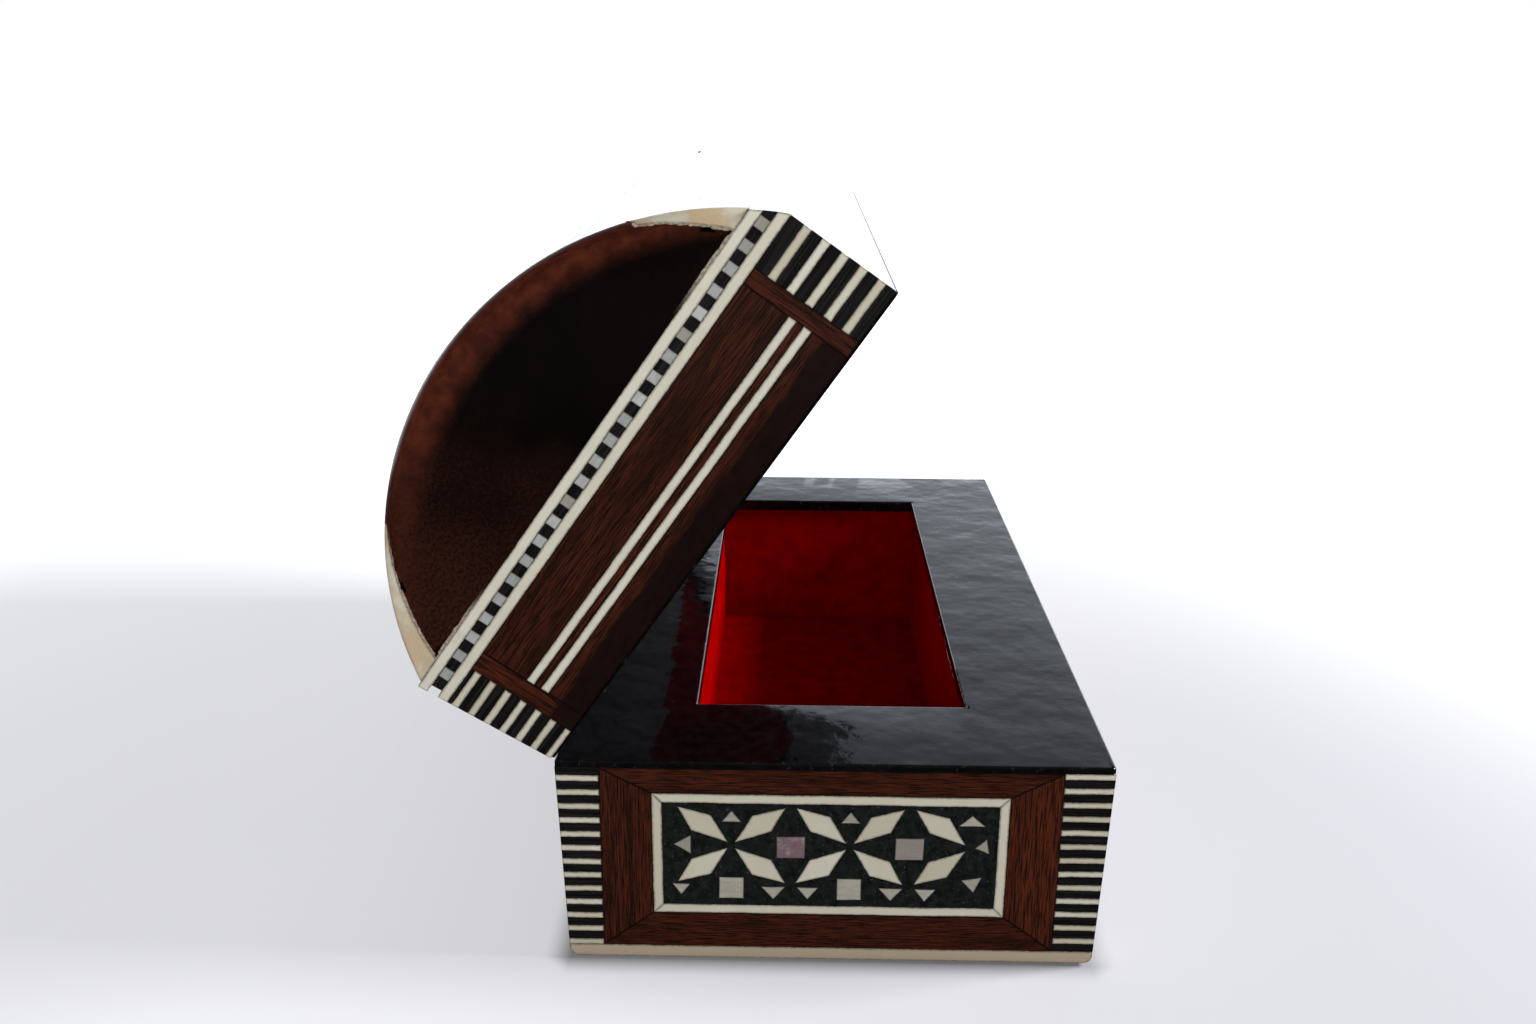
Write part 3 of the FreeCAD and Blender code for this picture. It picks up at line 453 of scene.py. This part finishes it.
def solids_of(node, body):
    """The node's solids, upright, each a list of faces whose corners are points."""
    mesh = frame["nodes"][node].data
    turn = UPRIGHT[body]
    points = [tuple(round(c, 7) for c in v.co) for v in mesh.vertices]
    upright = {p: tuple(turn @ Vector(p)) for p in set(points)}
    solids, faces, open_edges = [], [], set()
    for polygon in mesh.polygons:
        ring = [points[i] for i in polygon.vertices]
        faces.append([upright[p] for p in ring])
        for edge in zip(ring, ring[1:] + ring[:1]):
            open_edges ^= {tuple(sorted(edge))}
        if not open_edges:
            solids.append(faces)
            faces = []
    return solids + ([faces] if faces else [])


def surface_of(body):
    """Everything solid in a body, to tell an outside face from one that another piece covers."""
    points, faces = [], []
    for node in members(body):
        mesh = frame["nodes"][node].data
        start = len(points)
        points += [UPRIGHT[body] @ v.co for v in mesh.vertices]
        faces += [[start + i for i in p.vertices] for p in mesh.polygons]
    return BVHTree.FromPolygons(points, faces)


SURFACES = {body: surface_of(body) for body in frame["bodies"]}


def is_outside(face, body):
    start = face.calc_center_median() + face.normal * CLEAR_OF_FACE
    return SURFACES[body].ray_cast(start, face.normal)[0] is None


# ---------------------------------------------------------------- cutting the pieces
SLOTS = {part["node"]: part["material_slot"] for part in frame["record"]["subparts"]}
HAND_CUT = ((160.0, 0.07 * MM), (520.0, 0.045 * MM))      # how often and how far a sawn edge strays
HAND_SEED = 7                                            # fixes the noise that the strays come from
STEP = 1.3 * MM                                          # longest stretch of edge between two corners
FADE = 1.6 * MM                                          # strays die out this near the other body
FLAT = math.radians(0.5)                                 # faces that turn less than this become one
CREASE = math.radians(28)                                # an edge that turns more than this is sharp
NEW_DIRECTION = 0.2                                      # of a normal left over, to hold a corner by it too
FAR_UP = 99.0                                            # height given to pieces without a dark foot
DARK_FOOT_FROM = -34 * MM                                # the lid's wood is pale again in front of this

noise.seed_set(HAND_SEED)


def smooth(value, low, high):
    t = min(max((value - low) / (high - low), 0.0), 1.0)
    return t * t * (3 - 2 * t)


def upright_box(node):
    turn = UPRIGHT[frame["nodes"][node]["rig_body"]]
    points = np.array([turn @ v.co for v in frame["nodes"][node].data.vertices])
    return Vector(points.min(0)), Vector(points.max(0))


BASE_SKIN_TOP = upright_box("base_near_end_rails")[1].z     # where the wood meets each rim plate, lid shut
LID_SKIN_FOOT = upright_box("lid_near_end_rails")[0].z


def stray(point, body):
    """How far a hand-cut edge strays at a point, which is the same for every piece that meets there."""
    move = Vector()
    for often, far in HAND_CUT:
        move += noise.noise_vector(point * often) * far
    if body == "lid":
        return move * smooth(point.z - LID_SKIN_FOOT, 0, FADE)
    return move * smooth(BASE_SKIN_TOP - point.z, 0, FADE)


def bmesh_of(faces):
    bm = bmesh.new()
    made = {}
    for ring in faces:
        corners = [made.get(p) or made.setdefault(p, bm.verts.new(p)) for p in ring]
        bm.faces.new(corners)
    bmesh.ops.recalc_face_normals(bm, faces=bm.faces)
    return bm


def split_long_edges(bm, step):
    for edge in list(bm.edges):
        cuts = int(edge.calc_length() / step)
        for k in range(cuts, 0, -1):
            bmesh.utils.edge_split(edge, edge.verts[1], 1.0 / (k + 1))


def move_by_hand(bm, body, outside):
    """Let every corner stray within the outer faces that meet at it."""
    normals = {v: [f.normal.copy() for f in v.link_faces if f in outside] for v in bm.verts}
    for v in bm.verts:
        move = stray(v.co, body)
        done = []
        for n in normals[v]:
            for m in done:
                n = n - m * n.dot(m)
            if n.length > NEW_DIRECTION:
                n = n.normalized()
                move -= n * move.dot(n)
                done.append(n)
        v.co += move


def outer_faces(bm, body):
    return {f for f in bm.faces if is_outside(f, body)}


def borders(bm, outside):
    """Edges between an outer face and one that is covered or turns sharply away from it."""
    found = []
    for edge in bm.edges:
        sides = [f in outside for f in edge.link_faces]
        if len(sides) == 2 and any(sides) and edge.calc_face_angle(0.0) > CREASE:
            found.append(edge)
    return found


def ease(bm, body, outside, width):
    """Take the arris off the outer edges; returns the outer faces that are left."""
    made = bmesh.ops.bevel(bm, geom=borders(bm, outside), offset=width, offset_type="OFFSET", segments=1,
                           profile=0.5, affect="EDGES", clamp_overlap=True)
    eased = set(made["faces"])
    bm.normal_update()
    return {f for f in outer_faces(bm, body) if f not in eased}


def keep_within(bm, low, high):
    """No carved corner may pass the box of the CAD node it came from."""
    for v in bm.verts:
        v.co = [min(max(c, a), b) for c, a, b in zip(v.co, low, high)]


class Mesh:
    """Collects carved solids into one mesh with their grain, tone and edge marks."""

    def __init__(self):
        self.points, self.faces = [], []
        self.lay, self.tone, self.rim, self.height = [], [], [], []

    def add(self, bm, lay, tone, rim, foot=None):
        start = len(self.points)
        bm.verts.index_update()
        self.points += [tuple(v.co) for v in bm.verts]
        self.faces += [[start + v.index for v in f.verts] for f in bm.faces]
        self.lay += lay
        self.tone += [tone] * len(bm.verts)
        self.rim += rim
        self.height += [FAR_UP if foot is None else (v.co.z - foot) / MM for v in bm.verts]
        bm.free()

    def build(self, name, body, nodes, material):
        mesh = bpy.data.meshes.new(name)
        down = UPRIGHT[body].inverted()
        mesh.from_pydata([down @ Vector(p) for p in self.points], [], self.faces)
        for key, kind, values in (("lay", "FLOAT_VECTOR", self.lay), ("tone", "FLOAT", self.tone),
                                  ("rim", "FLOAT", self.rim), ("height", "FLOAT", self.height)):
            data = mesh.attributes.new(key, kind, "POINT").data
            data.foreach_set("vector" if kind == "FLOAT_VECTOR" else "value", np.array(values).ravel())
        mesh.polygons.foreach_set("use_smooth", [True] * len(mesh.polygons))
        mesh.set_sharp_from_angle(angle=CREASE)
        mesh.materials.append(material)
        piece = bpy.data.objects.new(name, mesh)
        bpy.context.scene.collection.objects.link(piece)
        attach(piece, body)
        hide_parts(*nodes)
        return piece


def along_the_grain(bm, rng):
    """Coordinates with the piece's length first, shifted so that no two pieces share their figure."""
    co = np.array([v.co for v in bm.verts])
    order = np.argsort(co.min(0) - co.max(0), kind="stable")
    shift = [rng.uniform(0, 2) for _ in range(3)]
    return [tuple(row) for row in (co[:, order] + shift)]


BAND_TONES = (0.0, 0.08)
CHEQUER_TONES = (0.0, 0.3)
TILE_TONES = (0.34, 0.52)
BONE_TONES = (0.2, 1.0)
ODD_TONES = {("base_pearl_tiles", 2): 1.0, ("base_pearl_tiles", 7): 0.63}    # a plum tile and a dark one


def tone_of(node, index, rng):
    """Shade of one solid between 0 and 1; a few are picked because they stand out."""
    if (node, index) in ODD_TONES:
        return ODD_TONES[node, index]
    slot = SLOTS[node]
    if node == "base_bone_band":
        return rng.uniform(*BAND_TONES)
    if slot == "mother_of_pearl":
        return rng.uniform(*(CHEQUER_TONES if "chequer" in node else TILE_TONES))
    if slot == "bone":
        return rng.uniform(*BONE_TONES)
    return rng.random()


def foot_of(node, bm):
    """Where the dark edge of a lid rail starts, or None for a piece without one."""
    if SLOTS[node] != "rosewood" or frame["nodes"][node]["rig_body"] != "lid":
        return None
    middle = sum((v.co for v in bm.verts), Vector()) / len(bm.verts)
    return LID_SKIN_FOOT if middle.y > DARK_FOOT_FROM else None


def carve(node, material, eased, ring, plain=False, placed=None, level=0.0):
    """Rebuild one CAD node as hand-cut pieces: eased arrises, a soft border for dirt, tone and grain.

    A plain node keeps the CAD's own faces.  Faces less level than asked get no border.
    """
    body = frame["nodes"][node]["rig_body"]
    rng = random.Random(node)
    low, high = upright_box(node)
    made = Mesh()
    for index, faces in enumerate(solids_of(node, body)):
        bm = bmesh_of(faces)
        if not plain:
            bmesh.ops.dissolve_limit(bm, angle_limit=FLAT, verts=bm.verts, edges=bm.edges)
        split_long_edges(bm, STEP)
        bm.normal_update()
        outside = outer_faces(bm, body)
        move_by_hand(bm, body, outside)
        bm.normal_update()
        if eased and outside:
            outside = ease(bm, body, outside, eased * MM)
        outside = {f for f in outside if abs(f.normal.z) >= level}
        if outside and ring:
            bmesh.ops.inset_region(bm, faces=list(outside), thickness=ring * MM, use_boundary=True,
                                   use_even_offset=False)
        inner = {v for f in outside if f.is_valid for v in f.verts}
        keep_within(bm, low, high)
        bmesh.ops.triangulate(bm, faces=[f for f in bm.faces if len(f.verts) > 4])
        rim = [0.0 if v in inner else 1.0 for v in bm.verts]
        lay = placed(bm) if placed else along_the_grain(bm, rng)
        made.add(bm, lay, tone_of(node, index, rng), rim, foot_of(node, bm))
    return made.build("inlaid_" + node, body, [node], material)


# in mm, how much of an arris is taken off and how wide the border is that holds dirt
INLAY_EDGES = {"bone": (0.07, 0.28), "rosewood": (0.05, 0.22), "black_resin": (0.05, 0.22),
               "mother_of_pearl": (0.06, 0.16)}
PANEL_EDGES = (0.1, 0.9)
PLATE_EDGES = (0, 0.5)
FIELD_EDGES = (0, 0)
LEVEL = 0.99                                             # upright part of a level face's normal


def skin_material(node):
    slot = SLOTS[node]
    if slot == "black_resin" and not node.endswith("resin"):
        return MATERIALS["black_slip"]
    if node == "lid_dome_edge_bone":
        return MATERIALS["stained_bone"]
    return MATERIALS[slot]


def carve_inlay():
    for node, slot in SLOTS.items():
        if slot in INLAY_EDGES:
            field = node.endswith("_resin")
            carve(node, skin_material(node), *(FIELD_EDGES if field else INLAY_EDGES[slot]), plain=field)


WORN_WIDTH = 5.8 * MM                                    # at the crown of the D-shaped panels


def arc_centre(node):
    """Centre and radius of the arc through both feet of a D-shaped panel, inside its worn border."""
    low, high = upright_box(node)
    chord, rise = high.y - low.y, high.z - low.z - WORN_WIDTH
    radius = (chord * chord / 4 + rise * rise) / (2 * rise)
    return Vector((0, (low.y + high.y) / 2, low.z + rise - radius)), radius


def dome_panels():
    for node in ("lid_near_end_dome_panel", "lid_far_end_dome_panel"):
        centre, radius = arc_centre(node)

        def placed(bm):
            return [(v.co.y - centre.y, v.co.z - centre.z, v.co.x) for v in bm.verts]

        carve(node, burl(node + "_burl", radius), *PANEL_EDGES, placed=placed)


def rim_plates():
    carve("base_rim_plate", MATERIALS["black_lacquer"], *PLATE_EDGES, plain=True, level=LEVEL)
    carve("lid_rim_plate", MATERIALS["dull_lacquer"], *PLATE_EDGES, plain=True, level=LEVEL)


# ---------------------------------------------------------------- red linings
PILE_GRID = 2.2 * MM
PILE_SPLITS = 7                                          # at most this many halvings of an edge
PILE_HOLLOW = 0.3 * MM
PILE_MEAN = 0.5                                          # of the hollow, before it dips and swells
PILE_DIPS = ((90, 0.5), (260, 0.25))                     # how often it does, and by how much of the hollow
PILE_TONE = 0.5


def pile_dip(point):
    return max(sum((share * noise.noise(point * often) for often, share in PILE_DIPS), PILE_MEAN), 0)


def padded_lining(node):
    """A velvet-covered board: its face dips and swells a little, and its edges are soft."""
    body = frame["nodes"][node]["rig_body"]
    made = Mesh()
    for faces in solids_of(node, body):
        bm = bmesh_of(faces)
        bmesh.ops.dissolve_limit(bm, angle_limit=FLAT, verts=bm.verts, edges=bm.edges)
        for _ in range(PILE_SPLITS):
            edges = [e for e in bm.edges if e.calc_length() > PILE_GRID]
            if not edges:
                break
            bmesh.ops.subdivide_edges(bm, edges=edges, cuts=1, use_grid_fill=True)
        bmesh.ops.triangulate(bm, faces=[f for f in bm.faces if len(f.verts) > 4])
        bm.normal_update()
        corners = {v for e in bm.edges if e.calc_face_angle(0.0) > CREASE for v in e.verts}
        moves = {}
        for v in bm.verts:
            if v not in corners:
                moves[v] = -v.normal * PILE_HOLLOW * pile_dip(v.co)
        for v, move in moves.items():
            v.co += move
        made.add(bm, [tuple(v.co) for v in bm.verts], PILE_TONE, [0.0] * len(bm.verts))
    return made.build("velvet_" + node, body, [node], MATERIALS["red_velvet"])


def linings():
    for node, slot in SLOTS.items():
        if slot == "red_velvet":
            padded_lining(node)


def keep_cad_nodes():
    """The carcass, hinges and felt keep their CAD shape and get their finish."""
    for node, slot in SLOTS.items():
        if slot in ("core_wood", "brass", "black_felt"):
            piece = frame["nodes"][node]
            piece.data.materials.clear()
            piece.data.materials.append(MATERIALS[slot])
            for held in piece.material_slots:
                held.material = MATERIALS[slot]


# ---------------------------------------------------------------- studio
FOOT = Vector(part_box("base_bone_band")[1])                # how far the box's foot reaches each way
GREY_AT = (-0.12, 0.0, 0.0)                              # painted shade: the floor is greyest here and pale further out
FLOOR_RADIUS = 6.0
FLOOR_SIDES = 64
LAMPS_AIM = Vector((0, 0, 0.04))


def floor_material():
    """Pale paper, greyer on the box's shaded side and hardly mirrored by the polish just above it, with
    painted light and shade: a painted glow, painted grey near the box, a painted contact shadow round its
    foot and a painted dark reflection close to it.
    """
    p = Paint("pale_floor")
    place = p.place()
    away = p.tree.nodes.new("ShaderNodeVectorMath")
    away.operation = "DISTANCE"
    p.put(away.inputs[0], place)
    away.inputs[1].default_value = GREY_AT
    # painted shade and light: the floor is grey near the box, and white and fully glowing further out
    far = p.span(away.outputs["Value"], 0.13, 0.5)
    along, across, _ = p.axes(place)
    # painted light: the floor glows, more on the side that the box shades from the key lamp
    shaded = p.span(across, -0.12, 0.12)
    glow = p.math("ADD", p.math("MULTIPLY", shaded, 0.3), 0.34)
    glow = p.math("MAXIMUM", glow, p.span(far, 0.0, 1.0, bottom=0.1))
    # painted contact shadow: the glow dies out right round the box's foot
    beside = p.math("MAXIMUM", p.math("SUBTRACT", p.math("ABSOLUTE", along), FOOT.x), 0.0)
    before = p.math("MAXIMUM", p.math("SUBTRACT", p.math("ABSOLUTE", across), FOOT.y), 0.0)
    glow = p.math("MULTIPLY", glow, p.span(p.math("ADD", beside, before), -0.002, 0.005, top=1.0))
    # painted dark reflection: close to the box the floor turns black to glossy rays
    mirrored = p.tree.nodes.new("ShaderNodeLightPath").outputs["Is Glossy Ray"]
    close = p.span(along, 0.1, 0.5, bottom=0.96, top=0.0)
    shown = p.math("SUBTRACT", 1.0, p.math("MULTIPLY", mirrored, close))
    body = p.mix(far, tint(140, 140, 146), tint(250, 250, 250))
    body = p.mix(shown, (0, 0, 0, 1), body)
    p.set(Base_Color=body, Roughness=0.7, Specular_IOR_Level=0.0)
    p.set(Emission_Color=(0.97, 0.97, 1.0, 1.0), Emission_Strength=p.math("MULTIPLY", glow, shown))
    return p.material


def make_floor():
    bm = bmesh.new()
    bmesh.ops.create_circle(bm, cap_ends=True, radius=FLOOR_RADIUS, segments=FLOOR_SIDES)
    mesh = bpy.data.meshes.new("floor")
    bm.to_mesh(mesh)
    bm.free()
    mesh.materials.append(floor_material())
    floor = bpy.data.objects.new("floor", mesh)
    bpy.context.scene.collection.objects.link(floor)


def softbox(name, at, size, power, mirrored):
    light = bpy.data.lights.new(name, "AREA")
    light.shape = "RECTANGLE"
    light.size, light.size_y = size
    light.energy = power
    lamp = bpy.data.objects.new(name, light)
    bpy.context.scene.collection.objects.link(lamp)
    lamp.location = at
    lamp.rotation_mode = "QUATERNION"
    lamp.rotation_quaternion = (LAMPS_AIM - Vector(at)).to_track_quat("-Z", "Y")
    lamp.visible_glossy = mirrored


def make_lamps():
    softbox("front_side", (0.0, -0.66, 0.44), (0.22, 0.22), 12, True)
    softbox("near_fill", (-0.9, 0.2, 0.36), (0.8, 0.5), 3.6, False)


def make_world():
    """White behind everything; its light comes from low down ahead, past the far end of the box."""
    world = bpy.data.worlds.new("studio")
    bpy.context.scene.world = world
    world.use_nodes = True
    room = Nodes(world.node_tree)
    out = room.tree.nodes.new("ShaderNodeOutputWorld")
    seen = room.tree.nodes.new("ShaderNodeBackground")
    lit = room.tree.nodes.new("ShaderNodeBackground")
    seen.inputs["Color"].default_value = (1, 1, 1, 1)
    lit.inputs["Color"].default_value = (0.84, 0.9, 1.0, 1)
    ahead, _, up = room.axes(room.tree.nodes.new("ShaderNodeTexCoord").outputs["Generated"])
    heights = room.ramp(up, (0.0, (1, 1, 1, 1)), (0.12, (1, 1, 1, 1)), (0.3, (0.42, 0.42, 0.42, 1)),
                        (0.48, (0.2, 0.2, 0.2, 1)), (0.8, (0.05, 0.05, 0.05, 1)))
    backdrop = room.math("MULTIPLY", room.span(ahead, -0.2, 0.8), heights)
    glow = room.math("ADD", room.math("MULTIPLY", backdrop, 1.9), 0.08)
    room.put(lit.inputs["Strength"], glow)
    mix = room.tree.nodes.new("ShaderNodeMixShader")
    room.put(mix.inputs[0], room.tree.nodes.new("ShaderNodeLightPath").outputs["Is Camera Ray"])
    room.put(mix.inputs[1], lit.outputs[0])
    room.put(mix.inputs[2], seen.outputs[0])
    room.put(out.inputs["Surface"], mix.outputs[0])


def make_camera():
    """Looks along +X with a small turn, tilt and roll."""
    data = bpy.data.cameras.new("camera")
    data.lens = LENS
    data.sensor_width = SENSOR
    data.clip_start = CLIP_START
    camera = bpy.data.objects.new("camera", data)
    bpy.context.scene.collection.objects.link(camera)
    cy, sy = math.cos(CAMERA_YAW), math.sin(CAMERA_YAW)
    cp, sp = math.cos(CAMERA_DOWN), math.sin(CAMERA_DOWN)
    cr, sr = math.cos(CAMERA_ROLL), math.sin(CAMERA_ROLL)
    yaw = np.array([[cy, 0, -sy], [0, 1, 0], [sy, 0, cy]])
    down = np.array([[1, 0, 0], [0, cp, sp], [0, -sp, cp]])
    roll = np.array([[cr, sr, 0], [-sr, cr, 0], [0, 0, 1]])
    to_world = np.array([[0, -1, 0], [0, 0, 1], [1, 0, 0]])
    right, up, ahead = (roll @ down @ yaw) @ to_world
    turn = Matrix((right, up, -ahead)).transposed()
    camera.matrix_world = Matrix.Translation(CAMERA_AT) @ turn.to_4x4()
    bpy.context.scene.camera = camera


make_camera()
make_floor()
make_lamps()
make_world()
keep_cad_nodes()
carve_inlay()
dome_panels()
rim_plates()
linings()
bpy.context.scene.view_settings.view_transform = "Standard"
